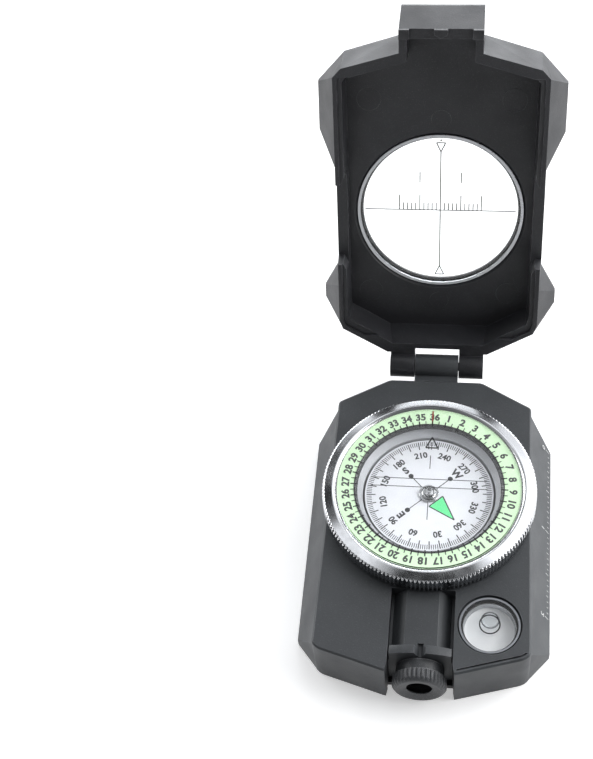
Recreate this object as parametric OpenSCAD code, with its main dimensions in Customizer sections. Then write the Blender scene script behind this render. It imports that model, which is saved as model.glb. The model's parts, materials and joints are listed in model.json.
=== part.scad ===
// Hinged sighting compass: base with capsule and turning bezel, lid with reticle window,
// focusing eyepiece and bull's-eye level. Millimetres, +Z up, +Y towards the hinge.
// The origin is the mouth of the tripod bush, on the bezel's axis and the base's underside.

/* [Base] */
// Height of the deck above the underside
deck_h = 15.5; // [15.3:0.1:15.8]
// Width across the two ruler flanges
flange_w = 65; // [64:0.5:68]
// Height of a flange's upright edge
flange_edge_h = 2.6; // [2:0.2:4]
// Half of the width of the sight channel
channel_half_w = 8.2; // [8.2:0.1:8.4]
// Thickness of the bottom cover
cover_t = 1.6; // [1.2:0.1:1.8]

/* [Hinge] */
// Distance from the bezel's axis to the hinge's axis
hinge_y = 43.1; // [42.8:0.1:44]
// Height of the hinge's axis
hinge_z = 15.2; // [15:0.1:15.4]
// Radius of the knuckles and of the centre barrel
knuckle_r = 3.3; // [3:0.1:3.5]
// Width of the centre barrel
barrel_w = 12; // [10:0.5:12.2]
// Width over both outer knuckles
hinge_w = 25.9; // [24:0.5:27]
// Diameter of the hinge pin
pin_d = 2.4; // [2:0.1:3]

/* [Lid] */
// Angle of the lid from closed
lid_angle = 112.5; // [0:0.5:180]
// Height of the lid's outer face above the hinge's axis
lid_h = 12; // [11.5:0.1:13]
// Thickness of the lid's plate
plate_t = 3; // [2.6:0.1:3.4]
// Distance from the hinge's axis to the window's centre
window_u = 43.6; // [43:0.1:44]
// Diameter of the clear window
window_d = 42; // [40:0.5:42]
// Width of the front hood
hood_w = 21.2; // [20.8:0.2:22]

/* [Bezel and capsule] */
// Diameter of the knurled bezel
bezel_d = 56.4; // [55.8:0.1:56.6]
// Height of the bezel's lower edge
bezel_z = 15.9; // [15.8:0.1:16.1]
// Height of the bezel's knurled band
bezel_h = 5.4; // [5.2:0.1:5.5]
// Outer diameter of the numbered ring
ring_outer_d = 48.6; // [48:0.1:48.8]
// Inner diameter of the numbered ring
ring_inner_d = 39.7; // [39.6:0.1:39.9]
// Diameter of the compass card
card_d = 34; // [33:0.1:34.4]
// Height of the card's printed face
card_z = 16.6; // [16.2:0.1:16.8]

/* [Eyepiece] */
// Height of the eyepiece's axis
eye_z = 8.4; // [8.3:0.1:8.6]
// Diameter of the focus ring
focus_ring_d = 13.8; // [13.4:0.1:14]
// Diameter of the eye hole
eye_hole_d = 6.6; // [6:0.1:7]

/* [Level] */
// Place of the level to the right of the bezel's axis
level_x = 17; // [17:0.1:17.4]
// Place of the level in front of the bezel's axis
level_front = 36.2; // [35.8:0.1:36.6]
// Outer diameter of the level's cup
level_d = 15.4; // [15:0.1:15.6]

/* [Hidden] */
$fn = 96;

past = 1;                       // how far a cut runs past the face that it opens
edge = 0.45;                    // small chamfer on cast edges
fit = 0.05;                     // radial clearance of a running fit
gap = 0.1;                      // clearance between a fixed part and its seat

flange_x = flange_w / 2;
level_y = -level_front;
bezel_r = bezel_d / 2;
bezel_top = bezel_z + bezel_h;
pin_r = pin_d / 2;

// Base outlines: the right half, from the hinge end to the front
deck_half = [[12.8, 37.8], [26.6, 29.8], [27.4, -43.9], [25.7, -45.3], [8.8, -50.3]];
foot_half = [[12.8, 37.8], [27.2, 29.6], [flange_x, 23.3], [flange_x, -37.4],
    [26.3, -44.9], [8.8, -50.3]];
deck = softened(both_sides(deck_half), 0.9);
foot = both_sides(foot_half);

// Housing levels and bores
well_r = 24.7;                  // well that the bezel's skirt turns in
well_z = 12.4;
capsule_r = 21.2;               // capsule body below the ledge
capsule_z = 5.6;                // underside of the capsule
tube_r = ring_inner_d / 2 - gap;
tube_wall = 0.4;
ring_z = bezel_z + 3.8;         // underside of the numbered ring
ring_t = 0.75;
tube_top = ring_z + 0.65;
cavity_r = card_d / 2 + 0.6;
shoulder_z = 17;                // where the capsule's grey slope starts
shoulder_h = 1.2;
crystal_z = tube_top + 0.2;
crystal_t = 0.7;
skirt_r = 24.5;
skirt_z = 13.7;
wire_r = 0.42;
wire_z = 14.8;
channel_back = -27.4;
cover_inset = 1.9;
level_floor = 8;
level_top = deck_h - 0.5;       // the level sits a little below the deck
level_ditch = 0.45;             // width of the narrow ditch round the level's rim
level_bore = level_d / 2 - 0.5;

// Places of repeated fasteners
cover_screw_at = [[25.4, 24], [-25.4, 24], [24.4, -40.4], [-24.4, -40.4]];
capsule_screw_r = 22.35;
block_screw_at = [[-6.3, -41.5], [6.3, -41.5]];

// Eyepiece stations along Y
block_front = -45.7;
spigot_front = -49.6;
ring_front = -52.1;
ring_wall = 0.9;
tube_front = -50.6;
tube_back = -38.4;
lens_tube_r = 5.1;
spigot_r = 5.9;

// Lid levels, measured up from the hinge's axis when the lid is closed
rim_z = deck_h + 0.25 - hinge_z;
plate_z = lid_h - plate_t;
bezel_room_z = bezel_top + 0.35 - hinge_z;

// Lid outlines as [across, distance from the hinge's axis], right half from hinge to front
rim_half = [[13.9, 3.9], [26.4, 11], [27.3, 13.6], [27.6, 85], [25.4, 87.4], [10.6, 91.6]];
plate_half = [[14.3, 3.3], [27.4, 10.6], [27.9, 13.6], [28, 85], [25.4, 88.2], [11, 92.6]];
room_rim_half = [[12.6, 6.8], [24.4, 13.4], [25.1, 16], [25.3, 83.6], [24.2, 84.8], [8.4, 89.4]];
room_plate_half = [[13.7, 8.3], [24.4, 14.7], [24.6, 16], [24.9, 83], [24, 84.2], [8.4, 88.8]];
far_ear = [[23, 58], [27.9, 56.6], [flange_x - 0.1, 67], [flange_x - 0.1, 80.4],
    [25.4, 88.2], [23, 84]];
far_ear_foot = [[23, 60], [27.5, 60], [27.6, 84.9], [25.4, 87.4], [23, 84]];
near_ear = [[23, 27], [27.9, 27.4], [flange_x - 0.4, 19.7], [flange_x - 0.4, 16],
    [28.2, 10.9], [23, 12]];
near_ear_foot = [[23, 24], [27.3, 24.6], [27.3, 13.6], [26.4, 11], [23, 12]];
ear_edge_z = lid_h - 1.8;
hood_end = 98;                  // hood's end at the rim
hood_lean = 2.6;                // how much further the hood reaches at the plate

// Right half of an outline, and its mirror image
function both_sides(half) = concat(half,
    [for (i = [len(half) - 1:-1:0]) [-half[i][0], half[i][1]]]);
function unit(v) = v / norm(v);
function before(points, i) = unit(points[(i + len(points) - 1) % len(points)] - points[i]);
function after(points, i) = unit(points[(i + 1) % len(points)] - points[i]);
// Each corner becomes a short curve that starts the given distance from it
function softened(points, cut, steps = 4) = [
    for (i = [0:len(points) - 1])
        for (s = [0:steps])
            let (t = s / steps, a = before(points, i) * cut, b = after(points, i) * cut)
                points[i] + a * pow(1 - t, 2) + b * pow(t, 2)];
// A convex outline moved inwards by a distance
function inset(points, d) = [
    for (i = [0:len(points) - 1])
        let (a = before(points, i), b = after(points, i))
            points[i] + unit(a + b) * d / sin(acos(a * b) / 2)];
function across(points) = [for (p = points) [-p[0], p[1]]];

module slab(points, z0, z1) {
    translate([0, 0, z0])
        linear_extrude(z1 - z0)
            polygon(points);
}

module tube(outer, inner, z0, z1) {
    translate([0, 0, z0])
        difference() {
            cylinder(r = outer, h = z1 - z0);
            translate([0, 0, -past])
                cylinder(r = inner, h = z1 - z0 + 2 * past);
        }
}

// A rod along Y from y0 forward to the lower value y1, on the eyepiece's axis
module eye_rod(r, y0, y1) {
    translate([0, y0, eye_z])
        rotate([90, 0, 0])
            cylinder(r = r, h = y0 - y1);
}

// A rod along X, centred on the hinge's axis in the base's frame
module hinge_rod(r, length) {
    translate([-length / 2, 0, 0])
        rotate([0, 90, 0])
            cylinder(r = r, h = length);
}

module countersunk_screw(head_r, shank_r, length) {
    cylinder(r1 = head_r, r2 = shank_r, h = head_r - shank_r);
    cylinder(r = shank_r, h = length);
}

module pan_screw(head_r, head_h, shank_r, length) {
    cylinder(r = head_r, h = head_h);
    translate([0, 0, -length])
        cylinder(r = shank_r, h = length);
}

// ---- Base ----

module deck_body() {
    hull() {
        slab(deck, 0, deck_h - edge);
        slab(inset(deck, edge), deck_h - edge, deck_h);
    }
}

module flange(side) {
    corners = [[23, 30], [27.2, 29.6], [flange_x, 23.3], [flange_x, -37.4], [26.3, -44.9], [23, -44]];
    top_line = [[23, 28], [26.2, 28.6], [27, -43.4], [25.4, -44.6], [23, -43]];
    hull() {
        slab(side > 0 ? corners : across(corners), 0, flange_edge_h);
        slab(side > 0 ? top_line : across(top_line), deck_h - 1.4, deck_h - 1.2);
    }
}

module hinge_barrel() {
    translate([0, hinge_y, hinge_z])
        hinge_rod(knuckle_r, barrel_w);
    translate([-barrel_w / 2, 36, hinge_z - knuckle_r])
        cube([barrel_w, hinge_y - 36, knuckle_r - 0.3]);
}

// The channel that holds the sight block, open at the front and the bottom
module channel_cut() {
    mouth = channel_half_w + 0.6;
    slab([[channel_half_w, channel_back], [channel_half_w, -47.6], [mouth, -51],
        [-mouth, -51], [-channel_half_w, -47.6], [-channel_half_w, channel_back]], -past, deck_h + past);
}

// Groove that follows the deck's edge at the right front
module deck_groove() {
    back = 0.8;
    width = 0.5;
    intersection() {
        difference() {
            slab(inset(deck, back), deck_h - 0.6, deck_h + past);
            slab(inset(deck, back + width), deck_h - 1, deck_h + 2 * past);
        }
        translate([9.2, -52, deck_h - 2])
            cube([20, 8.6, 4]);
    }
}

module pockets() {
    rear = [[6, 33.5], [12, 34.6], [22.5, 28.6], [21.5, 26.5], [12, 26.5], [6, 29.5]];
    for (points = [rear, across(rear)])
        slab(points, cover_t - past, 11);
    slab([[-11, -30], [-22, -24], [-24.4, -34], [-20.5, -41], [-11, -44.5]], cover_t - past, 12);
}

module base_housing() {
    color("#46494d")
        difference() {
            union() {
                deck_body();
                flange(1);
                flange(-1);
                hinge_barrel();
            }
            slab(inset(foot, cover_inset), -past, cover_t);
            translate([0, 0, well_z])
                cylinder(r = well_r, h = deck_h);
            cylinder(r = capsule_r + gap, h = deck_h);
            translate([0, 0, wire_z])
                rotate_extrude()
                    translate([(well_r + skirt_r) / 2, 0])
                        circle(r = wire_r + fit, $fn = 32);
            channel_cut();
            deck_groove();
            pockets();
            translate([level_x, level_y, level_floor])
                cylinder(r = level_d / 2 + gap, h = deck_h);
            translate([level_x, level_y, level_top - 0.7])
                cylinder(r = level_d / 2 + level_ditch, h = deck_h);
            translate([0, hinge_y, hinge_z])
                hinge_rod(pin_r, barrel_w + 2 * past);
            for (p = cover_screw_at)
                translate([p[0], p[1], -past])
                    cylinder(r = 1, h = 7.2 + past);
            for (a = [90:120:330])
                rotate(a)
                    translate([capsule_screw_r, 0, 8.8])
                        cylinder(r = 0.6, h = well_z);
            eye_rod(2.6, -capsule_r + past, channel_back - past);
        }
}

module bottom_cover() {
    color("#3b3d40")
        difference() {
            slab(inset(foot, cover_inset + gap), 0, cover_t);
            translate([0, 0, -past])
                cylinder(r = 5 + gap, h = 4);
            for (p = cover_screw_at)
                translate([p[0], p[1], 0]) {
                    translate([0, 0, -0.02])
                        cylinder(r1 = 2.1, r2 = 1.1, h = 1);
                    cylinder(r = 1.1, h = 4);
                }
            translate([-30, -60, -past])
                cube([60, 60 - 47.2, 4]);
        }
}

module cover_screws() {
    color("#2b2c2e")
        for (p = cover_screw_at)
            translate([p[0], p[1], 0.1])
                difference() {
                    countersunk_screw(1.9, 0.95, 6.6);
                    for (turn = [0, 90])
                        rotate(turn)
                            translate([-1.1, -0.2, -past])
                                cube([2.2, 0.4, past + 0.5]);
                }
}

module tripod_bush() {
    color("#b08d4c")
        difference() {
            union() {
                cylinder(r = 5, h = 5.2);
                translate([0, 0, cover_t])
                    cylinder(r = 7, h = 0.9);
            }
            translate([0, 0, -past])
                cylinder(r = 2.6, h = 8);
        }
}

module hinge_pin() {
    color("#55575a")
        translate([0, hinge_y, hinge_z])
            hinge_rod(pin_r, hinge_w - 0.6);
}

// ---- Capsule ----

module capsule_cup() {
    color("#1c1d1f")
        difference() {
            union() {
                translate([0, 0, capsule_z])
                    cylinder(r = capsule_r, h = well_z - capsule_z);
                translate([0, 0, well_z])
                    cylinder(r = 23.1, h = 0.8);
                translate([0, 0, well_z])
                    cylinder(r = tube_r, h = tube_top - well_z);
            }
            translate([0, 0, capsule_z + 1.4])
                cylinder(r = cavity_r, h = deck_h);
            translate([0, 0, shoulder_z])
                cylinder(r1 = cavity_r, r2 = tube_r - tube_wall, h = shoulder_h);
            translate([0, 0, shoulder_z + shoulder_h])
                cylinder(r = tube_r - tube_wall, h = deck_h);
            for (a = [90:120:330])
                rotate(a)
                    translate([capsule_screw_r, 0, well_z - past])
                        cylinder(r = 0.6, h = 3);
        }
}

module capsule_screws() {
    color("#9a9b9d")
        for (a = [90:120:330])
            rotate(a)
                translate([capsule_screw_r, 0, well_z + 0.8])
                    pan_screw(0.7, 0.5, 0.55, 4);
}

module pivot_post() {
    color("#c9a24a")
        translate([0, 0, capsule_z + 1.4]) {
            cylinder(r = 1.8, h = 1);
            cylinder(r = 0.45, h = card_z - capsule_z - 1.7);
            translate([0, 0, card_z - capsule_z - 1.7])
                cylinder(r1 = 0.45, r2 = 0.06, h = 0.8);
        }
}

// Collar that wraps the capsule's mouth, with a black slope down into it
module crystal_seal() {
    mouth = tube_r - tube_wall;
    foot = crystal_z - 1.2;
    color("#141414")
        rotate_extrude()
            polygon([[tube_r, tube_top], [tube_r, crystal_z], [tube_r - 0.15, crystal_z],
                [mouth - 0.1, tube_top - 0.05], [mouth - 0.5, foot], [mouth, foot], [mouth, tube_top]]);
}

module index_crystal() {
    color([0.9, 0.95, 0.95, 0.35])
        translate([0, 0, crystal_z])
            cylinder(r = ring_outer_d / 2 - 0.15, h = crystal_t);
}

module bezel_retaining_ring() {
    color("#8d9093")
        translate([0, 0, wire_z])
            rotate(15)
                rotate_extrude(angle = 330)
                    translate([(well_r + skirt_r) / 2, 0])
                        circle(r = wire_r, $fn = 32);
}

module bezel_ring() {
    seat_r = ring_outer_d / 2;
    profile = [[skirt_r, skirt_z], [skirt_r, bezel_z], [bezel_r - 0.4, bezel_z], [bezel_r, bezel_z + 0.4],
        [bezel_r, bezel_top - 1.1], [bezel_r - 0.5, bezel_top - 0.6], [seat_r + 1.2, bezel_top],
        [seat_r + 0.9, bezel_top], [seat_r, bezel_top - 0.6], [seat_r, ring_z],
        [seat_r - 2, ring_z], [seat_r - 2, ring_z - 0.8], [seat_r - 0.8, ring_z - 1.4], [seat_r - 0.8, skirt_z]];
    color("#c8cacc")
        difference() {
            rotate_extrude()
                polygon(profile);
            translate([0, 0, wire_z])
                rotate_extrude()
                    translate([(well_r + skirt_r) / 2, 0])
                        circle(r = wire_r + 0.1, $fn = 32);
        }
}

module azimuth_ring() {
    color("#cdf0c3")
        tube(ring_outer_d / 2 - fit, ring_inner_d / 2, ring_z, ring_z + ring_t);
}

// ---- Card ----

module compass_card() {
    color("#eeeef4")
        tube(card_d / 2, 1.3, card_z - 0.4, card_z);
}

module card_hub() {
    hub = [[0, 1], [1.05, 1], [1.05, 0], [2.6, 0], [2.6, 0.35], [2.1, 0.55], [2.1, 0.8], [1.4, 1],
        [1.2, 1.2], [0.6, 1.4], [0, 1.4]];
    color("#b9bbbe")
        translate([0, 0, card_z])
            rotate_extrude()
                polygon(hub);
}

module jewel_bearing() {
    color("#b3324a")
        translate([0, 0, card_z])
            rotate_extrude()
                polygon([[1, 0], [1, 0.95], [0, 0.95], [0, 0.65], [0.75, 0]]);
}

module card_magnet() {
    color("#6b6e73")
        tube(6, 2.4, card_z - 2.2, card_z - 0.4);
}

// ---- Sight block and eyepiece ----

module sight_block() {
    half_w = channel_half_w - gap;
    roof = [[-half_w, cover_t], [half_w, cover_t], [half_w, 12], [7.4, 12], [4.1, deck_h],
        [-4.1, deck_h], [-7.4, 12], [-half_w, 12]];
    bar_half_w = 7.8;
    bar_rise = 1.4;
    bar_y = -43.5;
    arch_r = (pow(bar_half_w, 2) + pow(bar_rise, 2)) / (2 * bar_rise);
    notch = [[-1.5, deck_h + bar_rise + past], [1.5, deck_h + bar_rise + past], [1.4, deck_h + bar_rise - 0.4],
        [0.35, deck_h - 0.9], [-0.35, deck_h - 0.9], [-1.4, deck_h + bar_rise - 0.4]];
    color("#3a3d40")
        difference() {
            union() {
                translate([0, channel_back - gap, 0])
                    rotate([90, 0, 0])
                        linear_extrude(channel_back - gap - block_front)
                            polygon(roof);
                intersection() {
                    translate([-bar_half_w, block_front, 10])
                        cube([2 * bar_half_w, bar_y - block_front, 10]);
                    translate([0, bar_y + past, deck_h + bar_rise - arch_r])
                        rotate([90, 0, 0])
                            cylinder(r = arch_r, h = 10, $fn = 180);
                }
                eye_rod(spigot_r, block_front + past, spigot_front);
            }
            eye_rod(lens_tube_r + fit, -36, -60);
            translate([-4.2, -36.6, 4.2])
                cube([8.4, 12, 7.6]);
            translate([0, bar_y + past, 0])
                rotate([90, 0, 0])
                    linear_extrude(bar_y - block_front + 2 * past)
                        polygon(notch);
            for (p = block_screw_at)
                translate([p[0], p[1], cover_t - past])
                    cylinder(r = 0.75, h = 6 + past);
        }
}

module sight_block_screws() {
    color("#9a9b9d")
        for (p = block_screw_at)
            translate([p[0], p[1], cover_t])
                cylinder(r = 0.7, h = 5.6);
}

module prism() {
    color([0.85, 0.92, 0.95, 0.4])
        translate([4.1, -29.6, 4.4])
            rotate([90, 0, -90])
                linear_extrude(8.2)
                    polygon([[0, 0], [6.6, 0], [6.6, 6.6]]);
}

module focus_ring() {
    ring_r = focus_ring_d / 2;
    neck_r = ring_r - 0.45;
    grip = 3.8;
    front = -ring_front;
    profile = [[spigot_r + fit, 46], [neck_r, 46], [neck_r, front - grip - 0.3], [ring_r, front - grip],
        [ring_r, front - 0.7], [ring_r - 0.9, front], [5.5, front], [eye_hole_d / 2 + 0.2, front - 0.45],
        [eye_hole_d / 2, front - ring_wall], [lens_tube_r + fit, front - ring_wall],
        [lens_tube_r + fit, -spigot_front + fit], [spigot_r + fit, -spigot_front + fit]];
    color("#35373a")
        translate([0, 0, eye_z])
            rotate([90, 0, 0])
                rotate_extrude()
                    polygon(profile);
}

module lens_tube() {
    color("#26282a")
        difference() {
            eye_rod(lens_tube_r, tube_back, tube_front);
            eye_rod(4.3, tube_back + past, tube_front - past);
        }
}

module eyepiece_lens() {
    rim = 4.3;
    swell = 0.6;
    centre_y = 47.4;
    half_edge = 0.5;
    steps = 8;
    bulge = [for (i = [0:steps]) [rim * i / steps, half_edge + swell * (1 - pow(i / steps, 2))]];
    profile = concat([for (p = bulge) [p[0], centre_y + p[1]]],
        [for (i = [steps:-1:0]) [bulge[i][0], centre_y - bulge[i][1]]]);
    color([0.9, 0.95, 1, 0.35])
        translate([0, 0, eye_z])
            rotate([90, 0, 0])
                rotate_extrude()
                    polygon(profile);
}

module lens_retaining_ring() {
    color("#1f2022")
        difference() {
            eye_rod(4.3, -49, -50.2);
            eye_rod(3.5, -48, -51);
        }
}

// ---- Level ----

module level_cup() {
    color("#a9adb2")
        translate([level_x, level_y, 0])
            difference() {
                translate([0, 0, level_floor])
                    cylinder(r = level_d / 2, h = level_top - level_floor);
                translate([0, 0, level_floor + 1])
                    cylinder(r = level_bore, h = deck_h);
            }
}

module level_disc() {
    color("#f4f4f4")
        translate([level_x, level_y, level_floor + 1])
            cylinder(r = level_bore, h = 2.4);
}

module level_seal() {
    color("#d8dadd")
        translate([level_x, level_y, 0])
            tube(level_bore, level_bore - 0.5, level_top - 2, level_top - 1.4);
}

module level_glass() {
    color([0.9, 0.95, 0.97, 0.35])
        translate([level_x, level_y, level_top - 1.4])
            cylinder(r = level_bore, h = 1.2);
}

// ---- Lid ----

// Children are drawn with the lid closed: Y is minus the distance from the hinge's axis
module on_lid() {
    translate([0, hinge_y, hinge_z])
        rotate([-lid_angle, 0, 0])
            mirror([0, 1, 0])
                children();
}

module ear(plan, foot_plan, side) {
    top = side > 0 ? plan : across(plan);
    bottom = side > 0 ? foot_plan : across(foot_plan);
    hull() {
        slab(bottom, rim_z + 0.3, rim_z + 0.5);
        slab(top, ear_edge_z, lid_h - edge);
        slab(inset(top, edge), lid_h - edge, lid_h);
    }
}

module lid_body() {
    plate = both_sides(plate_half);
    hull() {
        slab(both_sides(rim_half), rim_z, rim_z + 0.2);
        slab(plate, ear_edge_z, lid_h - edge);
        slab(inset(plate, edge), lid_h - edge, lid_h);
    }
}

module hood() {
    half_w = hood_w / 2;
    hull() {
        translate([-half_w, 86, rim_z])
            cube([hood_w, hood_end - 86, 0.2]);
        translate([-half_w, 86, lid_h - 1.6])
            cube([hood_w, hood_end + hood_lean - 86, 1]);
        translate([-half_w + edge, 86, lid_h - edge])
            cube([hood_w - 2 * edge, hood_end + hood_lean - edge - 86, edge]);
    }
}

// Corner blocks and the centre tooth that hang from the hood's end
module hood_teeth() {
    half_w = hood_w / 2;
    for (side = [-1, 1])
        translate([side * (half_w - 1.3), hood_end - 1.25, rim_z - 1])
            translate([-1.3, -1.25, 0])
                cube([2.6, 2.5, 3]);
    slab([[-1.7, hood_end], [1.7, hood_end], [1.7, hood_end - 1.3], [0, hood_end - 2.3], [-1.7, hood_end - 1.3]],
        rim_z - 1, rim_z + 2);
}

module knuckle(side) {
    inner = barrel_w / 2 + 0.2;
    width = hinge_w / 2 - inner;
    translate([side * (inner + width / 2), 0, 0]) {
        hinge_rod(knuckle_r, width);
        translate([-width / 2, 0, rim_z])
            cube([width, 6, knuckle_r - rim_z]);
    }
}

module lid_shell() {
    slot_half_w = barrel_w / 2 + 0.2;
    lip = inset(both_sides(rim_half), 1.15);
    color("#333539")
        on_lid()
            difference() {
                union() {
                    lid_body();
                    hood();
                    hood_teeth();
                    for (side = [-1, 1]) {
                        ear(far_ear, far_ear_foot, side);
                        ear(near_ear, near_ear_foot, side);
                        knuckle(side);
                    }
                }
                // inner room, the room in the hood, and the stepped lip round the rim
                hull() {
                    slab(both_sides(room_rim_half), rim_z - past, rim_z);
                    slab(both_sides(room_plate_half), plate_z - 0.1, plate_z);
                }
                translate([-hood_w / 2 + 2, 80, rim_z + 0.9])
                    cube([hood_w - 4, hood_end - 1.9 - 80, plate_z - rim_z - 0.9]);
                translate([-hood_w / 2 + 2, 80, rim_z - 2])
                    cube([hood_w - 4, hood_end - 2.6 - 80, plate_z - rim_z]);
                intersection() {
                    slab(lip, rim_z - past, rim_z + 0.7);
                    translate([-40, 9, rim_z - past])
                        cube([80, 76, past + 0.7]);
                }
                // room for the bezel
                translate([0, hinge_y, rim_z - past])
                    cylinder(r = bezel_r + 0.4, h = bezel_room_z - rim_z + past, $fn = 180);
                for (side = [-1, 1])
                    translate([side * 28 - 4, 31.3, rim_z - past])
                        cube([8, 23.6, bezel_room_z - rim_z + past]);
                // slot for the base's barrel, and the pin's bore
                translate([-slot_half_w, -knuckle_r - past, rim_z - past])
                    cube([2 * slot_half_w, knuckle_r + past + 5.3, knuckle_r + past + 0.6]);
                hinge_rod(pin_r + fit, hinge_w + 2 * past);
                // window opening, its seat and the recess round it outside
                translate([0, window_u, plate_z - past])
                    cylinder(r = window_d / 2, h = plate_t + 2 * past);
                translate([0, window_u, plate_z - past])
                    cylinder(r = window_d / 2 + 1.5, h = plate_t + past - 1);
                translate([0, window_u, plate_z - 0.01])
                    cylinder(r1 = window_d / 2 + 2.3, r2 = window_d / 2 + 1.5, h = 0.8);
                translate([0, window_u, lid_h - 0.35])
                    cylinder(r = window_d / 2 + 2.4, h = past);
            }
}

module window_glass() {
    color([0.92, 0.96, 0.97, 0.3])
        on_lid()
            translate([0, window_u, lid_h - 2.2])
                cylinder(r = window_d / 2 + 1.4, h = 1);
}

module window_seal() {
    color("#161616")
        on_lid()
            translate([0, window_u, 0])
                tube(window_d / 2 + 1.4, window_d / 2 + 0.4, lid_h - 1.2, lid_h - 1);
}

module window_retaining_ring() {
    color("#c5c8cb")
        on_lid()
            translate([0, window_u, 0])
                tube(window_d / 2 + 1.45, window_d / 2 + 0.7, lid_h - 2.8, lid_h - 2.2);
}

base_housing();
bottom_cover();
cover_screws();
tripod_bush();
hinge_pin();
capsule_cup();
capsule_screws();
pivot_post();
crystal_seal();
index_crystal();
bezel_retaining_ring();
bezel_ring();
azimuth_ring();
compass_card();
card_hub();
jewel_bearing();
card_magnet();
sight_block();
sight_block_screws();
prism();
focus_ring();
lens_tube();
eyepiece_lens();
lens_retaining_ring();
level_cup();
level_disc();
level_glass();
level_seal();
lid_shell();
window_glass();
window_seal();
window_retaining_ring();
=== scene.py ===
"""Looks of the hinged sighting compass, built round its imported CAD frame.

Blender works in metres. Sizes below are in millimetres and become metres through MM or a placement matrix.
"""

import json
import math

import bmesh
import bpy
from mathutils import Euler, Matrix, Vector


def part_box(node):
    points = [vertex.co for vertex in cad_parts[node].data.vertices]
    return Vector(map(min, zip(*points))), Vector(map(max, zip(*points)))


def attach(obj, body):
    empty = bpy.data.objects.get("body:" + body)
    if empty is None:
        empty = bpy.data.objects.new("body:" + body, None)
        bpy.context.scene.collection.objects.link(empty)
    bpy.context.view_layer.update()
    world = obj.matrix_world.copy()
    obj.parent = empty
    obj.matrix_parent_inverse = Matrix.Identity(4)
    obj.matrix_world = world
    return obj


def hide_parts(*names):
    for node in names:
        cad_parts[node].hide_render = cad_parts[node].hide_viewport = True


MM = 0.001
TURN = 2 * math.pi

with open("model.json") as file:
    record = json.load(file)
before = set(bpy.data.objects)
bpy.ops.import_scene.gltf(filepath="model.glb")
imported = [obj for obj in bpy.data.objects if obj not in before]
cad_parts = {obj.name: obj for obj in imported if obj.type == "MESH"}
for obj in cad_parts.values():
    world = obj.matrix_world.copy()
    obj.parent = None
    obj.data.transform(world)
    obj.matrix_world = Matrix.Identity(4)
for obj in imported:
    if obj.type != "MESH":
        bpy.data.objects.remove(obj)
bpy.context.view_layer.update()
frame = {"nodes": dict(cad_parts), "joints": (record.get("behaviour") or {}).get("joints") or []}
nodes = frame["nodes"]
joints = {joint["name"]: joint for joint in frame["joints"]}


def low(node):
    """Lowest corner of a CAD node in millimetres."""
    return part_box(node)[0] / MM


def high(node):
    """Highest corner of a CAD node in millimetres."""
    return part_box(node)[1] / MM


# ---- Camera, floor and light ----

CAMERA_AT = (14.26, -204.58, 360.67)
CAMERA_TURN = (35.309, 4.790, 5.784)
CAMERA_LENS = 71.15
FLOOR_HALF = 3000


def add_camera():
    data = bpy.data.cameras.new("camera")
    data.lens = CAMERA_LENS
    data.sensor_width = 36
    data.clip_start = 0.01
    data.clip_end = 20
    camera = bpy.data.objects.new("camera", data)
    camera.location = Vector(CAMERA_AT) * MM
    camera.rotation_euler = Euler([math.radians(a) for a in CAMERA_TURN])
    bpy.context.scene.collection.objects.link(camera)
    bpy.context.scene.camera = camera


def add_softbox(name, place, aim, size, power):
    data = bpy.data.lights.new(name, "AREA")
    data.shape = "RECTANGLE"
    data.size = size[0] * MM
    data.size_y = size[1] * MM
    data.energy = power
    lamp = bpy.data.objects.new(name, data)
    lamp.location = Vector(place) * MM
    towards = Vector(aim) - Vector(place)
    lamp.rotation_euler = towards.to_track_quat("-Z", "Y").to_euler()
    bpy.context.scene.collection.objects.link(lamp)


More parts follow.
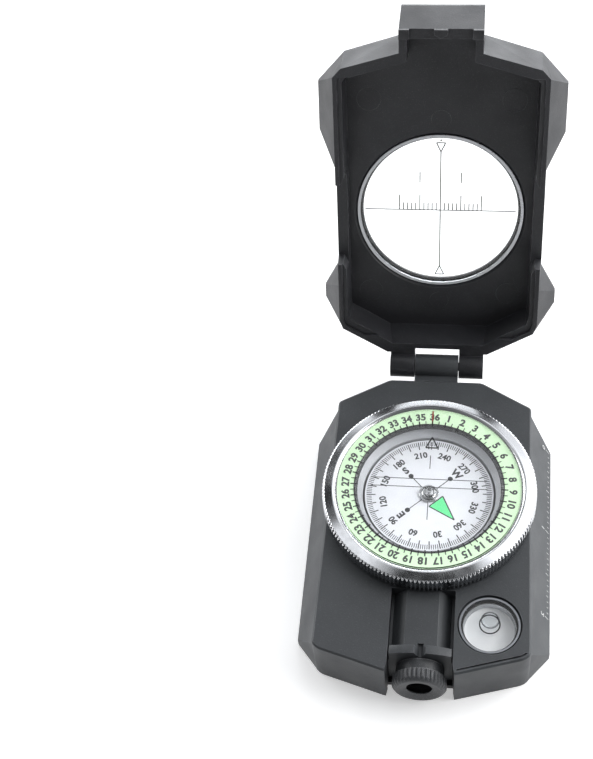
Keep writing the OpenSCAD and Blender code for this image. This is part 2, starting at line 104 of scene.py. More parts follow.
def add_world():
    """Bright low down behind the object and dim in front of it, with two bright panels above and two dark
    cards, which the bezel shows as bright and dark stretches. The camera sees plain white."""
    world = bpy.data.worlds.new("studio")
    bpy.context.scene.world = world
    world.use_nodes = True
    tree = world.node_tree
    tree.nodes.clear()
    place = tree.nodes.new("ShaderNodeTexCoord")

    def lobe(towards, start, full, dim, bright):
        """A brightness that grows smoothly with the cosine of the angle to a direction."""
        facing = tree.nodes.new("ShaderNodeVectorMath")
        facing.operation = "DOT_PRODUCT"
        facing.inputs[1].default_value = Vector(towards).normalized()
        tree.links.new(place.outputs["Generated"], facing.inputs[0])
        level = tree.nodes.new("ShaderNodeMapRange")
        level.interpolation_type = "SMOOTHSTEP"
        for socket, value in zip(level.inputs[1:5], (start, full, dim, bright)):
            socket.default_value = value
        tree.links.new(facing.outputs["Value"], level.inputs["Value"])
        return level.outputs["Result"]

    def joined(operation, first, second):
        node = tree.nodes.new("ShaderNodeMath")
        node.operation = operation
        tree.links.new(first, node.inputs[0])
        tree.links.new(second, node.inputs[1])
        return node.outputs[0]

    band = lobe((0.2, 1, 0.1), 0.3, 0.9, 0, 6.2)
    below_band_top = lobe((0, 0, 1), 0.22, 0.47, 1, 0)
    horizon = joined("MULTIPLY", band, below_band_top)
    sky = joined("ADD", lobe((-0.1, 1, 0.18), -0.35, 0.95, 0.13, 1.0), horizon)
    left_panel = lobe((-0.37, 0.2, 0.91), 0.95, 0.985, 0, 0.7)
    right_panel = lobe((0.42, 0.36, 0.83), 0.91, 0.97, 0, 1.2)
    panels = joined("ADD", left_panel, right_panel)
    left_card = lobe((-0.55, 0.52, 0.65), 0.925, 0.97, 1, 0.03)
    top_card = lobe((0, 0, 1), 0.955, 0.982, 1, 0.04)
    cards = joined("MULTIPLY", left_card, top_card)
    lighting = tree.nodes.new("ShaderNodeBackground")
    lighting.inputs["Color"].default_value = (0.95, 0.97, 1.0, 1)
    tree.links.new(joined("MULTIPLY", joined("ADD", sky, panels), cards), lighting.inputs["Strength"])
    seen = tree.nodes.new("ShaderNodeBackground")
    seen.inputs["Color"].default_value = (1, 1, 1, 1)
    path = tree.nodes.new("ShaderNodeLightPath")
    choice = tree.nodes.new("ShaderNodeMixShader")
    tree.links.new(path.outputs["Is Camera Ray"], choice.inputs[0])
    tree.links.new(lighting.outputs[0], choice.inputs[1])
    tree.links.new(seen.outputs[0], choice.inputs[2])
    output = tree.nodes.new("ShaderNodeOutputWorld")
    tree.links.new(choice.outputs[0], output.inputs["Surface"])


# ---- Finishes ----


class Finish:
    """A Principled material whose textures are sized in millimetres."""

    def __init__(self, name, **sockets):
        self.material = bpy.data.materials.new(name)
        self.material.use_nodes = True
        self.tree = self.material.node_tree
        self.shader = self.tree.nodes["Principled BSDF"]
        for socket, value in sockets.items():
            self.set(socket.replace("_", " "), value)
        place = self.add("ShaderNodeTexCoord")
        scaled = self.add("ShaderNodeVectorMath", operation="SCALE")
        scaled.inputs["Scale"].default_value = 1 / MM
        self.link(place.outputs["Object"], scaled.inputs[0])
        self.place = scaled.outputs[0]

    def add(self, kind, **settings):
        node = self.tree.nodes.new(kind)
        for key, value in settings.items():
            setattr(node, key, value)
        return node

    def link(self, source, target):
        self.tree.links.new(source, target)

    def set(self, socket, value):
        """A constant goes straight on the shader's socket, and a node's output is linked to it."""
        target = self.shader.inputs[socket]
        if isinstance(value, bpy.types.NodeSocket):
            self.link(value, target)
        elif isinstance(value, tuple) and len(value) == 3:
            target.default_value = (*value, 1)
        else:
            target.default_value = value

    def noise(self, size, detail=2.0, stretch=(1, 1, 1)):
        """Noise whose blobs are about size millimetres across, from 0 to 1."""
        scale = self.add("ShaderNodeVectorMath", operation="MULTIPLY")
        scale.inputs[1].default_value = [s / size for s in stretch]
        self.link(self.place, scale.inputs[0])
        texture = self.add("ShaderNodeTexNoise")
        texture.inputs["Scale"].default_value = 1
        texture.inputs["Detail"].default_value = detail
        self.link(scale.outputs[0], texture.inputs["Vector"])
        return texture.outputs[0]

    def rings(self, size, axis="Z"):
        """Noise that depends only on the distance from an axis through the origin, as a lathe leaves."""
        flat = self.add("ShaderNodeVectorMath", operation="MULTIPLY")
        flat.inputs[1].default_value = [0 if name == axis else 1 for name in "XYZ"]
        self.link(self.place, flat.inputs[0])
        distance = self.add("ShaderNodeVectorMath", operation="LENGTH")
        self.link(flat.outputs[0], distance.inputs[0])
        texture = self.add("ShaderNodeTexNoise", noise_dimensions="1D")
        texture.inputs["Scale"].default_value = 1 / size
        texture.inputs["Detail"].default_value = 3
        self.link(distance.outputs["Value"], texture.inputs["W"])
        return texture.outputs[0]

    def span(self, value, low_in, high_in, low_out, high_out):
        """A value mapped from one range to another and kept inside it."""
        node = self.add("ShaderNodeMapRange")
        self.link(value, node.inputs["Value"])
        for socket, number in zip(node.inputs[1:5], (low_in, high_in, low_out, high_out)):
            socket.default_value = number
        return node.outputs["Result"]

    def times(self, a, b):
        node = self.add("ShaderNodeMath", operation="MULTIPLY")
        self.link(a, node.inputs[0])
        self.link(b, node.inputs[1])
        return node.outputs[0]

    def mixed(self, share, first, second):
        """A colour between two, which are colours or colour outputs."""
        node = self.add("ShaderNodeMix", data_type="RGBA")
        self.link(share, node.inputs["Factor"])
        for socket, colour in ((node.inputs[6], first), (node.inputs[7], second)):
            if isinstance(colour, tuple):
                socket.default_value = (*colour, 1)
            else:
                self.link(colour, socket)
        return node.outputs[2]

    def edges(self, width):
        """1 on edges rounder than width millimetres, and 0 on flat faces."""
        rounded = self.add("ShaderNodeBevel", samples=6)
        rounded.inputs["Radius"].default_value = width * MM
        flat = self.add("ShaderNodeNewGeometry")
        match = self.add("ShaderNodeVectorMath", operation="DOT_PRODUCT")
        self.link(rounded.outputs[0], match.inputs[0])
        self.link(flat.outputs["Normal"], match.inputs[1])
        return self.span(match.outputs["Value"], 0.99, 0.86, 0, 1)

    def bump(self, height, depth, after=None):
        """Turns a height from 0 to 1 into relief of that depth in millimetres."""
        node = self.add("ShaderNodeBump")
        node.inputs["Strength"].default_value = 1
        node.inputs["Distance"].default_value = depth * MM
        self.link(height, node.inputs["Height"])
        if after:
            self.link(after, node.inputs["Normal"])
        return node.outputs[0]


def cast_paint(name, dark, light, worn_and_glint):
    """Matt powder coat on a zinc casting: fine pimples, faint handling marks and rubbed edges. The paler
    colour on rounded edges is partly wear and partly painted highlight along the edges.
    """
    paint = Finish(name, Specular_IOR_Level=0.5)
    pimples = paint.noise(0.42, 3)
    cloud = paint.noise(14, 3)
    speckle = paint.noise(0.2, 1)
    body = paint.mixed(paint.span(cloud, 0.35, 0.65, 0, 1), dark, light)
    body = paint.mixed(paint.span(speckle, 0.62, 0.75, 0, 0.35), body, worn_and_glint)
    # Rounded edges turn to the paler colour: part rubbed wear, part painted edge highlight.
    rub_and_edge_glint = paint.times(paint.edges(0.35), paint.span(paint.noise(5, 3), 0.42, 0.6, 0.12, 0.8))
    paint.set("Base Color", paint.mixed(rub_and_edge_glint, body, worn_and_glint))
    paint.set("Roughness", paint.span(paint.noise(9, 4), 0.3, 0.7, 0.44, 0.58))
    grain = paint.bump(pimples, 0.03)
    paint.set("Normal", paint.bump(paint.noise(3.5, 2), 0.035, grain))
    return paint.material


def moulded_plastic(name, colour, roughness=0.45, grain=0.35):
    """Plain moulded plastic with a fine spark-eroded grain and slight tone changes."""
    plastic = Finish(name)
    tone = plastic.span(plastic.noise(6, 3), 0.3, 0.7, 0, 1)
    plastic.set("Base Color", plastic.mixed(tone, tuple(0.88 * c for c in colour), colour))
    uneven = plastic.span(plastic.noise(2.5, 3), 0.3, 0.7, roughness - 0.06, roughness + 0.06)
    plastic.set("Roughness", uneven)
    plastic.set("Normal", plastic.bump(plastic.noise(grain, 2), 0.01))
    return plastic.material


def turned_metal(name, colour, roughness=0.3, axis="Z", relief=0.006):
    """Metal straight from the lathe: concentric tool marks, stretched highlights and faint smudges."""
    metal = Finish(name, Metallic=1.0, Anisotropic=0.4)
    metal.link(metal.add("ShaderNodeTangent", direction_type="RADIAL", axis=axis).outputs[0],
               metal.shader.inputs["Tangent"])
    marks = metal.rings(0.12, axis)
    smudge = metal.noise(7, 4)
    shade = tuple(0.82 * c for c in colour)
    metal.set("Base Color", metal.mixed(metal.span(smudge, 0.35, 0.7, 0, 1), colour, shade))
    metal.set("Roughness", metal.span(smudge, 0.3, 0.7, roughness - 0.06, roughness + 0.09))
    scratch = metal.bump(metal.noise(0.5, 4, (0.15, 1, 1)), 0.002)
    metal.set("Normal", metal.bump(marks, relief, scratch))
    return metal.material


def plain_metal(name, colour, roughness=0.35):
    """Machined or plated metal without a lathe's rings."""
    metal = Finish(name, Metallic=1.0)
    smudge = metal.noise(1.6, 4)
    metal.set("Base Color", metal.mixed(smudge, tuple(0.75 * c for c in colour), colour))
    metal.set("Roughness", metal.span(smudge, 0.3, 0.7, roughness - 0.08, roughness + 0.1))
    metal.set("Normal", metal.bump(metal.noise(0.3, 3, (1, 0.2, 1)), 0.004))
    return metal.material


def luminous(name, colour, pale):
    """Phosphorescent plastic: crystals of pigment show as a fine pale grain."""
    glow = Finish(name, Roughness=0.42)
    grain = glow.span(glow.noise(0.18, 2), 0.4, 0.62, 0, 1)
    cloud = glow.span(glow.noise(4, 2), 0.3, 0.7, 0, 0.4)
    base = glow.mixed(grain, colour, pale)
    glow.set("Base Color", glow.mixed(cloud, base, colour))
    glow.set("Normal", glow.bump(glow.noise(0.3, 2), 0.006))
    return glow.material


def printed_card(name, colour, tint):
    """White printed dial: a fine screen grain and a slight mottle."""
    card = Finish(name, Roughness=0.55)
    mottle = card.span(card.noise(3, 3), 0.35, 0.65, 0, 0.6)
    fibre = card.span(card.noise(0.15, 1), 0.3, 0.7, 0, 0.5)
    card.set("Base Color", card.mixed(fibre, card.mixed(mottle, colour, tint), colour))
    card.set("Normal", card.bump(card.noise(0.4, 2), 0.004))
    return card.material


def ink(name, colour):
    """Screen-printed ink, thin and slightly uneven."""
    print_ink = Finish(name, Roughness=0.5)
    patch = print_ink.span(print_ink.noise(0.25, 2), 0.45, 0.75, 0, 0.5)
    print_ink.set("Base Color", print_ink.mixed(patch, colour, tuple(min(1, 1.6 * c + 0.01) for c in colour)))
    return print_ink.material


def glass(name, tint, refraction, strength=1.0):
    """Clear glass that lets lamps through to what lies behind it."""
    clear = Finish(name, Transmission_Weight=strength, Roughness=0.0, IOR=refraction)
    clear.set("Base Color", tint)
    through = clear.add("ShaderNodeBsdfTransparent")
    through.inputs["Color"].default_value = (*tint, 1)
    path = clear.add("ShaderNodeLightPath")
    choice = clear.add("ShaderNodeMixShader")
    clear.link(path.outputs["Is Shadow Ray"], choice.inputs[0])
    clear.link(clear.shader.outputs[0], choice.inputs[1])
    clear.link(through.outputs[0], choice.inputs[2])
    clear.link(choice.outputs[0], clear.tree.nodes["Material Output"].inputs["Surface"])
    return clear.material


DECK_PAINT = cast_paint("deck_paint", (0.034, 0.037, 0.041), (0.042, 0.046, 0.050), (0.12, 0.125, 0.135))
# The lid's paint is the deck's paint made darker, as painted shade for the lid's shaded inside. It also
# serves the bottom cover and the ejector marks.
SHADE_DARKENED_LID_PAINT = cast_paint("lid_paint", (0.013, 0.0135, 0.016), (0.018, 0.0185, 0.022), (0.10, 0.10, 0.11))
BLACK_PLASTIC = moulded_plastic("black_plastic", (0.018, 0.018, 0.02), 0.5)
CAPSULE_PLASTIC = moulded_plastic("capsule_plastic", (0.42, 0.425, 0.45), 0.35)
BEZEL_METAL = turned_metal("bezel_metal", (0.80, 0.81, 0.83), 0.15, relief=0.004)
HUB_METAL = turned_metal("hub_metal", (0.55, 0.55, 0.56), 0.16, relief=0.0015)
# The knob's pale silver edge colour on its teeth is partly worn paint and partly painted glint.
KNOB_PAINT = cast_paint("knob_paint", (0.030, 0.032, 0.035), (0.040, 0.042, 0.046), (0.34, 0.35, 0.36))
STEEL = plain_metal("steel", (0.60, 0.61, 0.63), 0.32)
DARK_STEEL = plain_metal("dark_steel", (0.16, 0.17, 0.18), 0.38)
LEVEL_RIM = plain_metal("level_rim", (0.30, 0.31, 0.33), 0.38)
POLISHED = plain_metal("polished", (0.55, 0.56, 0.58), 0.18)
BRASS = plain_metal("brass", (0.72, 0.52, 0.23), 0.3)
MAGNET = plain_metal("magnet", (0.3, 0.31, 0.33), 0.5)
RUBBER = moulded_plastic("seal_rubber", (0.02, 0.02, 0.02), 0.7, 0.5)
# Near-black seal. Where its lip runs down the capsule's inner wall it also stands in for the shade on that
# wall, as painted shade.
SEAL_BLACK_AND_WALL_SHADE = moulded_plastic("collar", (0.012, 0.013, 0.014), 0.28, 0.5)
CARD_WHITE = printed_card("card_white", (0.80, 0.80, 0.84), (0.74, 0.74, 0.79))
LEVEL_WHITE = printed_card("level_white", (0.80, 0.80, 0.81), (0.72, 0.72, 0.74))
LUMINOUS = luminous("luminous", (0.58, 0.79, 0.51), (0.66, 0.85, 0.60))
BRIGHT_GREEN = luminous("bright_green", (0.10, 0.78, 0.28), (0.20, 0.86, 0.38))
BLACK_INK = ink("black_ink", (0.012, 0.012, 0.014))
RED_INK = ink("red_ink", (0.50, 0.06, 0.02))
WHITE_INK = ink("white_ink", (0.55, 0.55, 0.55))
CRYSTAL = glass("crystal", (0.97, 0.98, 0.98), 1.49)
WINDOW = glass("window", (0.98, 0.99, 0.99), 1.45)
BUBBLE = glass("bubble", (0.93, 0.95, 0.96), 1.16)
# Grey-tinted glass ring round the bubble: painted shade for the dark edge that light bending gives a level's
# bubble.
MENISCUS_SHADE = glass("meniscus", (0.30, 0.31, 0.33), 1.2)
RUBY = glass("ruby", (0.75, 0.03, 0.08), 1.7)

FINISH_OF = {
    "base_housing": DECK_PAINT, "bottom_cover": SHADE_DARKENED_LID_PAINT, "cover_screws": DARK_STEEL, "tripod_bush": BRASS,
    "hinge_pin": DARK_STEEL, "capsule_cup": CAPSULE_PLASTIC, "capsule_screws": STEEL, "pivot_post": BRASS,
    "crystal_seal": SEAL_BLACK_AND_WALL_SHADE, "index_crystal": CRYSTAL,
    "bezel_retaining_ring": STEEL, "bezel_ring": BEZEL_METAL,
    "azimuth_ring": LUMINOUS, "compass_card": CARD_WHITE, "card_hub": HUB_METAL, "jewel_bearing": RUBY,
    "card_magnet": MAGNET, "sight_block": DECK_PAINT, "sight_block_screws": STEEL, "prism": CRYSTAL,
    "focus_ring": KNOB_PAINT, "lens_tube": BLACK_PLASTIC, "eyepiece_lens": CRYSTAL,
    "lens_retaining_ring": BLACK_PLASTIC, "level_cup": LEVEL_RIM, "level_disc": LEVEL_WHITE,
    "level_glass": CRYSTAL, "level_seal": RUBBER, "lid_shell": SHADE_DARKENED_LID_PAINT, "window_glass": WINDOW,
    "window_seal": RUBBER, "window_retaining_ring": STEEL,
}


def finish_nodes():
    for name, material in FINISH_OF.items():
        for place in nodes[name].material_slots:
            place.material = material


def round_edges(node, radius, angle=28):
    """Cast parts have no sharp edges. The joined flat faces get a small rounded edge."""
    part = nodes[node]
    weld = part.modifiers.new("weld", "WELD")
    weld.merge_threshold = 0.002 * MM
    flat = part.modifiers.new("flat", "DECIMATE")
    flat.decimate_type = "DISSOLVE"
    flat.angle_limit = math.radians(1.2)
    bevel = part.modifiers.new("round", "BEVEL")
    bevel.width = radius * MM
    bevel.segments = 3
    bevel.limit_method = "ANGLE"
    bevel.angle_limit = math.radians(angle)
    bevel.harden_normals = True


# ---- Building pieces ----


def add_piece(name, mesh, finish, body, smooth_angle=None):
    piece = bpy.data.objects.new(name, mesh)
    bpy.context.scene.collection.objects.link(piece)
    mesh.materials.clear()
    mesh.materials.append(finish)
    if smooth_angle is not None:
        mesh.shade_smooth()
        mesh.set_sharp_from_angle(angle=math.radians(smooth_angle))
    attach(piece, body)
    return piece


class Marks:
    """Thin printed or engraved marks on a plane, drawn in millimetres."""

    def __init__(self, thickness=0.02):
        self.thickness = thickness
        self.work = bmesh.new()

    def outline(self, points):
        """A filled outline, given anticlockwise."""
        lower = [self.work.verts.new((x, y, 0)) for x, y in points]
        upper = [self.work.verts.new((x, y, self.thickness)) for x, y in points]
        self.work.faces.new(lower[::-1])
        self.work.faces.new(upper)
        for i in range(len(points)):
            j = (i + 1) % len(points)
            self.work.faces.new((lower[i], lower[j], upper[j], upper[i]))

    def line(self, start, end, width):
        a, b = Vector(start), Vector(end)
        side = (b - a).normalized().orthogonal() * width / 2
        self.outline([tuple(p) for p in (a - side, b - side, b + side, a + side)])

    def loop(self, corners, width):
        """A closed line through the corners."""
        for i, corner in enumerate(corners):
            self.line(corner, corners[(i + 1) % len(corners)], width)

    def disc(self, centre, radius, steps=24):
        self.outline([(centre[0] + radius * math.cos(TURN * i / steps),
                       centre[1] + radius * math.sin(TURN * i / steps)) for i in range(steps)])

    def circle(self, centre, radius, width, steps=64):
        """A ring, built as short closed blocks."""
        def at(i, r):
            return centre[0] + r * math.cos(TURN * i / steps), centre[1] + r * math.sin(TURN * i / steps)
        inner, outer, top = radius - width / 2, radius + width / 2, self.thickness
        corners = ((inner, 0), (outer, 0), (outer, top), (inner, top))
        rows = [[self.work.verts.new((*at(i, r), h)) for r, h in corners] for i in range(steps)]
        for i in range(steps):
            a, b = rows[i], rows[(i + 1) % steps]
            for k in range(4):
                n = (k + 1) % 4
                self.work.faces.new((a[k], b[k], b[n], a[n]))

    def text(self, words, centre, height, turn=0.0, narrow=1.0, weight=0.0):
        """Generic numbers and letters in Blender's own font, centred, with their tops turned by an angle."""
        curve = bpy.data.curves.new("words", "FONT")
        curve.body = words
        curve.size = 1
        curve.extrude = 0.5
        curve.resolution_u = 3
        curve.offset = weight
        holder = bpy.data.objects.new("words", curve)
        bpy.context.scene.collection.objects.link(holder)
        bpy.context.view_layer.update()
        mesh = bpy.data.meshes.new_from_object(holder.evaluated_get(bpy.context.evaluated_depsgraph_get()))
        bpy.data.objects.remove(holder)
        bpy.data.curves.remove(curve)
        places = [v.co for v in mesh.vertices]
        lowest = Vector([min(p[i] for p in places) for i in range(2)])
        highest = Vector([max(p[i] for p in places) for i in range(2)])
        middle = (lowest + highest) / 2
        size = height / (highest.y - lowest.y)
        mesh.transform(Matrix.Translation((*centre, self.thickness / 2)) @ Matrix.Rotation(turn, 4, "Z")
                       @ Matrix.Diagonal((size * narrow, size, self.thickness, 1))
                       @ Matrix.Translation((-middle.x, -middle.y, 0)))
        self.work.from_mesh(mesh)
        bpy.data.meshes.remove(mesh)

    def finish(self, name, place, finish, body, slot):
        """Closes the drawing and puts its plane where the matrix says."""
        bmesh.ops.remove_doubles(self.work, verts=self.work.verts, dist=0.0004)
        bmesh.ops.recalc_face_normals(self.work, faces=self.work.faces)
        mesh = bpy.data.meshes.new(name)
        self.work.to_mesh(mesh)
        self.work.free()
        mesh.transform(place)
        return add_piece(name, mesh, finish, body)


def on_level(z):
    """A drawing plane at a height above the base's underside, in millimetres."""
    return Matrix.Diagonal((MM, MM, MM, 1)) @ Matrix.Translation((0, 0, z))


def clock(radius, degrees):
    """The point at an angle clockwise from +Y, as a compass counts."""
    angle = math.radians(degrees)
    return radius * math.sin(angle), radius * math.cos(angle)


def turned(name, profile, spokes, place, finish, body, smooth_angle=35):
    """Sweeps a closed profile of (radius, height) round the Z axis. spokes are (angle, floor): a point
    further out than floor is pulled in to it where it is marked as toothed, as (radius, height, True)."""
    points, faces = [], []
    count = len(profile)
    for angle, floor in spokes:
        for station in profile:
            radius = min(station[0], floor) if len(station) > 2 else station[0]
            points.append((radius * math.cos(angle), radius * math.sin(angle), station[1]))
    for i in range(len(spokes)):
        j = (i + 1) % len(spokes)
        for k in range(count):
            n = (k + 1) % count
            faces.append((i * count + k, j * count + k, j * count + n, i * count + n))
    mesh = bpy.data.meshes.new(name)
    mesh.from_pydata(points, [], faces)
    mesh.transform(place)
    mesh.update()
    return add_piece(name, mesh, finish, body, smooth_angle)


def even_spokes(radius, steps=96):
    """Spokes for a plain round piece."""
    return [(TURN * i / steps, radius) for i in range(steps)]


def knurl(teeth, tip, root):
    """Spokes for straight knurling: a flat tip, then a V-shaped groove."""
    flank = (tip + root) / 2
    shape = ((0.0, tip), (0.28, tip), (0.46, flank), (0.62, root), (0.66, root), (0.82, flank))
    return [(TURN * (tooth + share) / teeth, radius) for tooth in range(teeth) for share, radius in shape]


def arc(centre, radius, start, end, steps):
    """Points on an arc of a profile, with angles in degrees."""
    angles = [math.radians(start + (end - start) * i / steps) for i in range(steps + 1)]
    return [(centre[0] + radius * math.cos(a), centre[1] + radius * math.sin(a)) for a in angles]


# ---- Bezel ----

BEZEL_TEETH = 160
KNURL_DEPTH = 0.66
RING_NUMBERS = 36
NUMBER_OFFSET = 1.5
NUMBERS_FROM = 19.85


def add_bezel():
    outer = high("bezel_ring").x
    bottom = low("bezel_ring").z
    top = high("bezel_ring").z
    seat = high("azimuth_ring").x + 0.05
    ledge = low("azimuth_ring").z
    edge = bottom + 2.2
    skirt = 24.5
    lip = seat + 1.2
    wire = low("bezel_retaining_ring").z + 0.42
    toothed = [(outer - 0.4, edge, True), (outer - 0.12, edge + 0.12, True), (outer, edge + 0.4, True),
               (outer, top - 1.2, True), (outer - 0.1, top - 0.98, True), (outer - 0.45, top - 0.64, True),
               (outer - 0.6, top - 0.6, True)]
    band = [(outer - 0.68, top - 0.57), (outer - 0.72, top - 0.56), (outer - 0.76, top - 0.55),
            (lip + 0.3, top - 0.06), (lip, top), (lip - 0.2, top), (lip - 0.4, top - 0.08),
            (seat + 0.12, top - 0.5), (seat, top - 0.62)]
    inside = [(seat, ledge), (seat - 2, ledge), (seat - 2, ledge - 0.8), (seat - 0.8, ledge - 1.4),
              (seat - 0.8, bottom), (skirt, bottom)]
    groove = arc((skirt + 0.1, wire), 0.52, 258, 102, 8)
    profile = groove + [(skirt, edge)] + toothed + band + inside
    turned("knurled_bezel", profile, knurl(BEZEL_TEETH, outer, outer - KNURL_DEPTH), on_level(0), BEZEL_METAL,
           "bezel")
    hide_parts("bezel_ring")


def add_ring_numbers():
    """36 divisions, numbered clockwise."""
    outer, top = high("azimuth_ring").x, high("azimuth_ring").z
    marks = Marks()
    for number in range(1, RING_NUMBERS + 1):
        angle = 360 * number / RING_NUMBERS + NUMBER_OFFSET
        place = clock((outer + NUMBERS_FROM) / 2, angle)
        marks.text(str(number), place, 2.2, -math.radians(angle), 1.0, 0.04)
    marks.finish("ring_numbers", on_level(top), BLACK_INK, "bezel", "luminous")


# ---- Card ----


def add_hub():
    """The card's bearing cap: a rim, a groove, a low dome and a small dimple round the centre."""
    card = high("compass_card").z
    rim = high("card_hub").x
    bore = 1.05
    ring = [(rim, 0), (rim, 0.45), (rim - 0.1, 0.52), (rim - 0.36, 0.52), (rim - 0.42, 0.12),
            (rim - 0.68, 0.12)]
    dome = [(rim - 0.74, 0.7), (rim - 0.95, 0.85), (1.5, 0.9), (1.45, 0.5), (1.25, 0.5), (1.2, 1.18),
            (1.08, 1.3)]
    dimple = [(0.62, 1.36), (0.56, 1.14), (0.36, 1.14), (0.3, 1.4), (0.02, 1.4)]
    cap = [(r, card + h) for r, h in [(0.02, 1), (bore, 1), (bore, 0)] + ring + dome + dimple]
    turned("hub_cap", cap, even_spokes(rim), on_level(0), HUB_METAL, "card", 30)
    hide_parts("card_hub")


CARD_NORTH = 137.0
CARD_DOTS_AT = 7.4
CARD_MARGIN = 0.45


def add_card_print():
    outer, top = high("compass_card").x, high("compass_card").z
    edge = outer - CARD_MARGIN
    marks = Marks()
    for degree in range(0, 360, 2):
        angle = degree + CARD_NORTH
        length, width = (2.4, 0.28) if degree % 10 == 0 else (1.35, 0.19)
        marks.line(clock(edge - length, angle), clock(edge, angle), width)
    for degree in range(30, 361, 30):
        angle = degree + CARD_NORTH
        marks.text(str(degree), clock(outer - 4.7, angle), 1.9, -math.radians(angle), 0.95, 0.035)
    for letter, degree in (("E", 90), ("S", 180), ("W", 270)):
        angle = degree + CARD_NORTH
        marks.line(clock(2.55, angle), clock(CARD_DOTS_AT, angle), 0.22)
        marks.disc(clock(CARD_DOTS_AT, angle), 0.68)
        marks.text(letter, clock(9.65, angle), 2.2, -math.radians(angle), 1.0, 0.04)
    marks.loop(north_arrow(0.0), 0.3)
    marks.finish("card_print", on_level(top), BLACK_INK, "card", "card_white")
    arrow = Marks(0.015)
    arrow.outline(north_arrow(0.08))
    arrow.finish("north_arrow", on_level(top), BRIGHT_GREEN, "card", "luminous")


def north_arrow(shrink):
    """The arrow's corners, anticlockwise: its tip, then the two corners near the hub."""
    corners = [clock(10.2 - shrink, CARD_NORTH)]
    for side in (1, -1):
        x, y = -side * (2.4 - shrink), 2.8 + shrink
        corners.append(clock(math.hypot(x, y), CARD_NORTH + math.degrees(math.atan2(x, y))))
    return corners


# ---- Crystal, reticle and level ----


FIXED_TICKS = 72
TICKS_TO = 20.7


def add_crystal_marks():
    """Sighting lines, the index triangle and a tick every five degrees, printed under the fixed crystal."""
    under = on_level(low("index_crystal").z) @ Matrix.Translation((0, 0, -0.02))
    marks = Marks()
    for y in (2.3, -0.2):
        marks.line((-15.3, y), (15.3, y), 0.2)
    marks.line((0, 5.5), (0, 9.65), 0.2)
    marks.line((0, -4.4), (0, -10), 0.2)
    marks.loop([(0.2, 15.5), (-1.4, 12.1), (1.75, 12.1)], 0.4)
    marks.line((0.15, 11.5), (0.15, 13.9), 0.18)
    for step in range(FIXED_TICKS):
        angle = 360 * step / FIXED_TICKS
        start, width = (18.9, 0.32) if step % 2 == 0 else (19.2, 0.22)
        marks.line(clock(start, angle), clock(TICKS_TO, angle), width)
    marks.finish("crystal_marks", under, BLACK_INK, "base", "crystal")
    index = Marks()
    index.line((0, 19.9), (0, 23.9), 0.36)
    index.finish("index_line", under, RED_INK, "base", "crystal")


LID_ANGLE = -math.radians(joints["lid_hinge"]["range_deg"][0])
HINGE = Vector(joints["lid_hinge"]["pos_m"])
RETICLE_U = 43.9
RETICLE_PITCH = 1.107
GLASS_INNER = 9.8
PLATE_INNER = 9.0


def in_lid(u, depth):
    """A drawing plane inside the open lid: X stays, Y runs away from the hinge, and Z points out of the lid's
    mouth. Its origin is u from the hinge's axis, and depth is the closed lid's height over that axis."""
    away = Vector((0, -math.cos(LID_ANGLE), math.sin(LID_ANGLE)))
    out = Vector((0, -math.sin(LID_ANGLE), -math.cos(LID_ANGLE)))
    place = Matrix.Identity(4)
    origin = HINGE + (away * u - out * depth) * MM
    for row in range(3):
        place[row][0] = MM if row == 0 else 0
        place[row][1] = away[row] * MM
        place[row][2] = out[row] * MM
        place[row][3] = origin[row]
    return place


def add_reticle():
    marks = Marks()
    thin = 0.26
    marks.line((-20.4, 0), (20.4, 0), thin)
    marks.line((0, -17.1), (0, 17.1), 0.28)
    for side in (1, -1):
        marks.loop([(0, side * 17.1), (-1.2 * side, side * 19.7), (1.2 * side, side * 19.7)], 0.28)
    marks.disc((0, 20.4), 0.24, 12)
    for step in range(-10, 11):
        tall = step % 5 == 0 and step != 0
        marks.line((step * RETICLE_PITCH, 0), (step * RETICLE_PITCH, 4.4 if tall else 2.1), thin)
        if abs(step) == 5:
            marks.line((step * RETICLE_PITCH, 8), (step * RETICLE_PITCH, 11.2), thin)
    marks.finish("reticle", in_lid(RETICLE_U, GLASS_INNER), BLACK_INK, "lid", "crystal")


def add_ejector_marks():
    """Round witness marks that the mould's ejector pins left inside the lid."""
    marks = Marks(0.05)
    pins = ((-19, 76, 3.2), (19, 76, 3.2), (0, 70.5, 2.6), (0, 16.3, 2.6), (-19, 19, 3.2), (19, 19, 3.2))
    for x, u, radius in pins:
        marks.circle((x, u), radius, 0.16, 40)
    marks.finish("ejector_marks", in_lid(0, PLATE_INNER), SHADE_DARKENED_LID_PAINT, "lid", "lid_paint")


BUBBLE_AT = (0.1, 2.1)


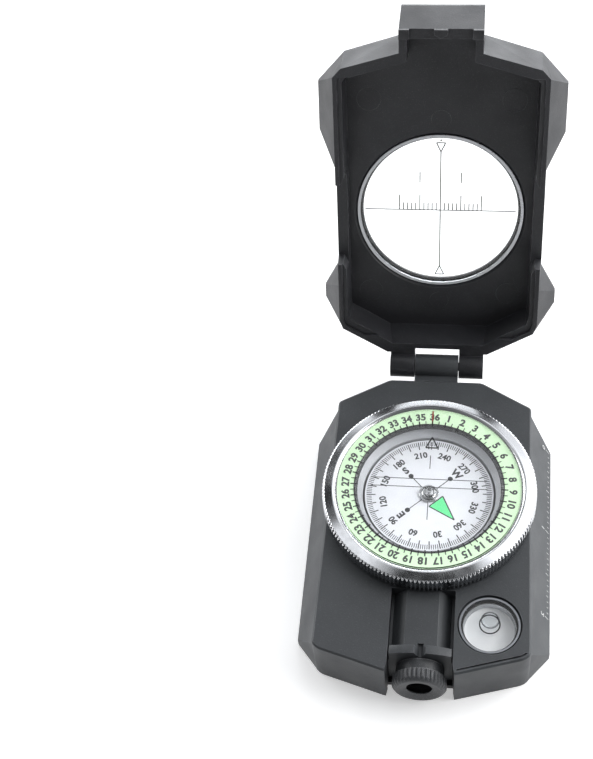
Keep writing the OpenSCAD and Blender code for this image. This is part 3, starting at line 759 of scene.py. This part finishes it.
def add_level():
    centre = (low("level_cup") + high("level_cup")) / 2
    floor, rim = low("level_disc").z, high("level_disc").z
    radius = high("level_disc").x - centre.x
    middle = on_level(0) @ Matrix.Translation((centre.x, centre.y, 0))
    even = even_spokes(radius)
    bowl, hollow = radius - 0.9, 0.45
    dish = [(0.02, floor), (radius, floor), (radius, rim), (bowl + 0.1, rim + 0.05)]
    dish += [(bowl * s, rim - hollow * (1 - s * s)) for s in (1, 0.88, 0.75, 0.6, 0.4, 0.2)]
    dish.append((0.02, rim - hollow))
    turned("level_dish", dish, even, middle, LEVEL_WHITE, "base", 40)
    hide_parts("level_disc")
    seat = low("level_seal").z - 0.02
    wall = [(radius - 0.02, rim + 0.02), (radius - 0.02, seat), (radius - 0.2, seat),
            (bowl + 0.05, rim + 0.3), (bowl + 0.02, rim + 0.1)]
    turned("level_wall", wall, even, middle, POLISHED, "base", 40)
    marks = Marks()
    marks.circle((0, 0.35), 2.55, 0.36)
    glass_top = middle @ Matrix.Translation((0, 0, high("level_glass").z))
    marks.finish("level_circle", glass_top, BLACK_INK, "base", "level_white")
    work = bmesh.new()
    bmesh.ops.create_uvsphere(work, u_segments=48, v_segments=24, radius=1.95)
    for vertex in work.verts:
        vertex.co.z *= 0.16 if vertex.co.z > 0 else 0.3
    mesh = bpy.data.meshes.new("level_bubble")
    work.to_mesh(mesh)
    work.free()
    bubble_place = middle @ Matrix.Translation((*BUBBLE_AT, low("level_glass").z - 0.4))
    mesh.transform(bubble_place)
    add_piece("level_bubble", mesh, BUBBLE, "base", 180)
    # Dark ring round the bubble, painted shade for its refracted edge.
    meniscus = [(1.98, -0.12), (2.22, -0.3), (2.36, -0.12), (2.22, 0.06)]
    turned("level_meniscus", meniscus, even, bubble_place, MENISCUS_SHADE, "base", 60)


# ---- Eyepiece and side scale ----

FOCUS_TEETH = 36


def add_focus_ring():
    lowest, highest = low("focus_ring"), high("focus_ring")
    radius = (highest.x - lowest.x) / 2
    axis_z = (lowest.z + highest.z) / 2
    front, back = -lowest.y, -highest.y
    bore, hole, spigot = 5.15, 3.3, 5.95
    step = front - 2.45
    outside = [(radius - 0.75, back), (radius - 0.75, front - 3.55), (radius - 0.1, front - 3.3, True),
               (radius, front - 3.15, True), (radius, front - 1.0, True), (radius - 0.12, front - 0.82, True),
               (radius - 0.62, front - 0.28), (radius - 1.0, front - 0.04), (radius - 1.15, front)]
    mouth = [(5.5, front), (5.3, front - 0.06), (hole + 0.35, front - 0.42), (hole, front - 0.62),
             (hole, front - 0.9)]
    inside = [(bore, front - 0.9), (bore, step), (spigot, step), (spigot, back)]
    place = on_level(axis_z) @ Matrix.Rotation(math.pi / 2, 4, "X")
    turned("knurled_focus_ring", outside + mouth + inside, knurl(FOCUS_TEETH, radius, radius - 0.42), place,
           KNOB_PAINT, "focus_knob")
    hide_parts("focus_ring")


INCH = 25.4


def add_side_scale():
    """A two-inch scale on the right flange's slope, with its numbers turned outwards."""
    lower = Vector((high("base_housing").x, 0, 2.6))
    upper = Vector((27, 0, 14.2))
    slope = (lower - upper).normalized()
    along = Vector((0, 1, 0))
    out = along.cross(slope)
    place = Matrix.Identity(4)
    origin = upper + slope * 9.5 + Vector((0, 22.6, 0))
    for row in range(3):
        place[row][0] = -along[row] * MM
        place[row][1] = -slope[row] * MM
        place[row][2] = -out[row] * MM
        place[row][3] = origin[row] * MM
    marks = Marks(0.03)
    for step in range(33):
        x = step * INCH / 16
        length = 2.2 if step % 16 == 0 else 1.7 if step % 8 == 0 else 1.3 if step % 4 == 0 else 0.9
        marks.line((x, -2.2), (x, -2.2 + length), 0.14)
    for inch in range(3):
        marks.text(str(inch), (inch * INCH + 0.1, 1.6), 1.7)
    marks.finish("side_scale", place, WHITE_INK, "base", "deck_paint")


add_camera()
add_world()
bpy.context.scene.view_settings.view_transform = "Standard"

floor_mesh = bpy.data.meshes.new("floor")
floor_signs = ((-1, -1), (1, -1), (1, 1), (-1, 1))
floor_corners = [(x * FLOOR_HALF * MM, y * FLOOR_HALF * MM, 0) for x, y in floor_signs]
floor_mesh.from_pydata(floor_corners, [], [(0, 1, 2, 3)])
floor = bpy.data.objects.new("floor", floor_mesh)
bpy.context.scene.collection.objects.link(floor)
floor_finish = Finish("floor", Roughness=0.8)
floor_finish.set("Base Color", (0.9, 0.9, 0.9))
floor_finish.set("Emission Color", (1, 1, 1))
floor_finish.set("Emission Strength", 0.4)
floor_mesh.materials.append(floor_finish.material)

add_softbox("key", (460, 60, 330), (0, 0, 20), (400, 400), 2.4)
add_softbox("kicker", (-430, 220, 190), (0, 0, 20), (260, 260), 0.9)
add_softbox("fill", (-200, -420, 300), (0, 0, 20), (300, 240), 0.15)

finish_nodes()
round_edges("base_housing", 0.28, 9)
round_edges("lid_shell", 0.3, 9)
round_edges("sight_block", 0.2)
add_bezel()
add_ring_numbers()
add_hub()
add_card_print()
add_crystal_marks()
add_reticle()
add_ejector_marks()
add_level()
add_focus_ring()
add_side_scale()
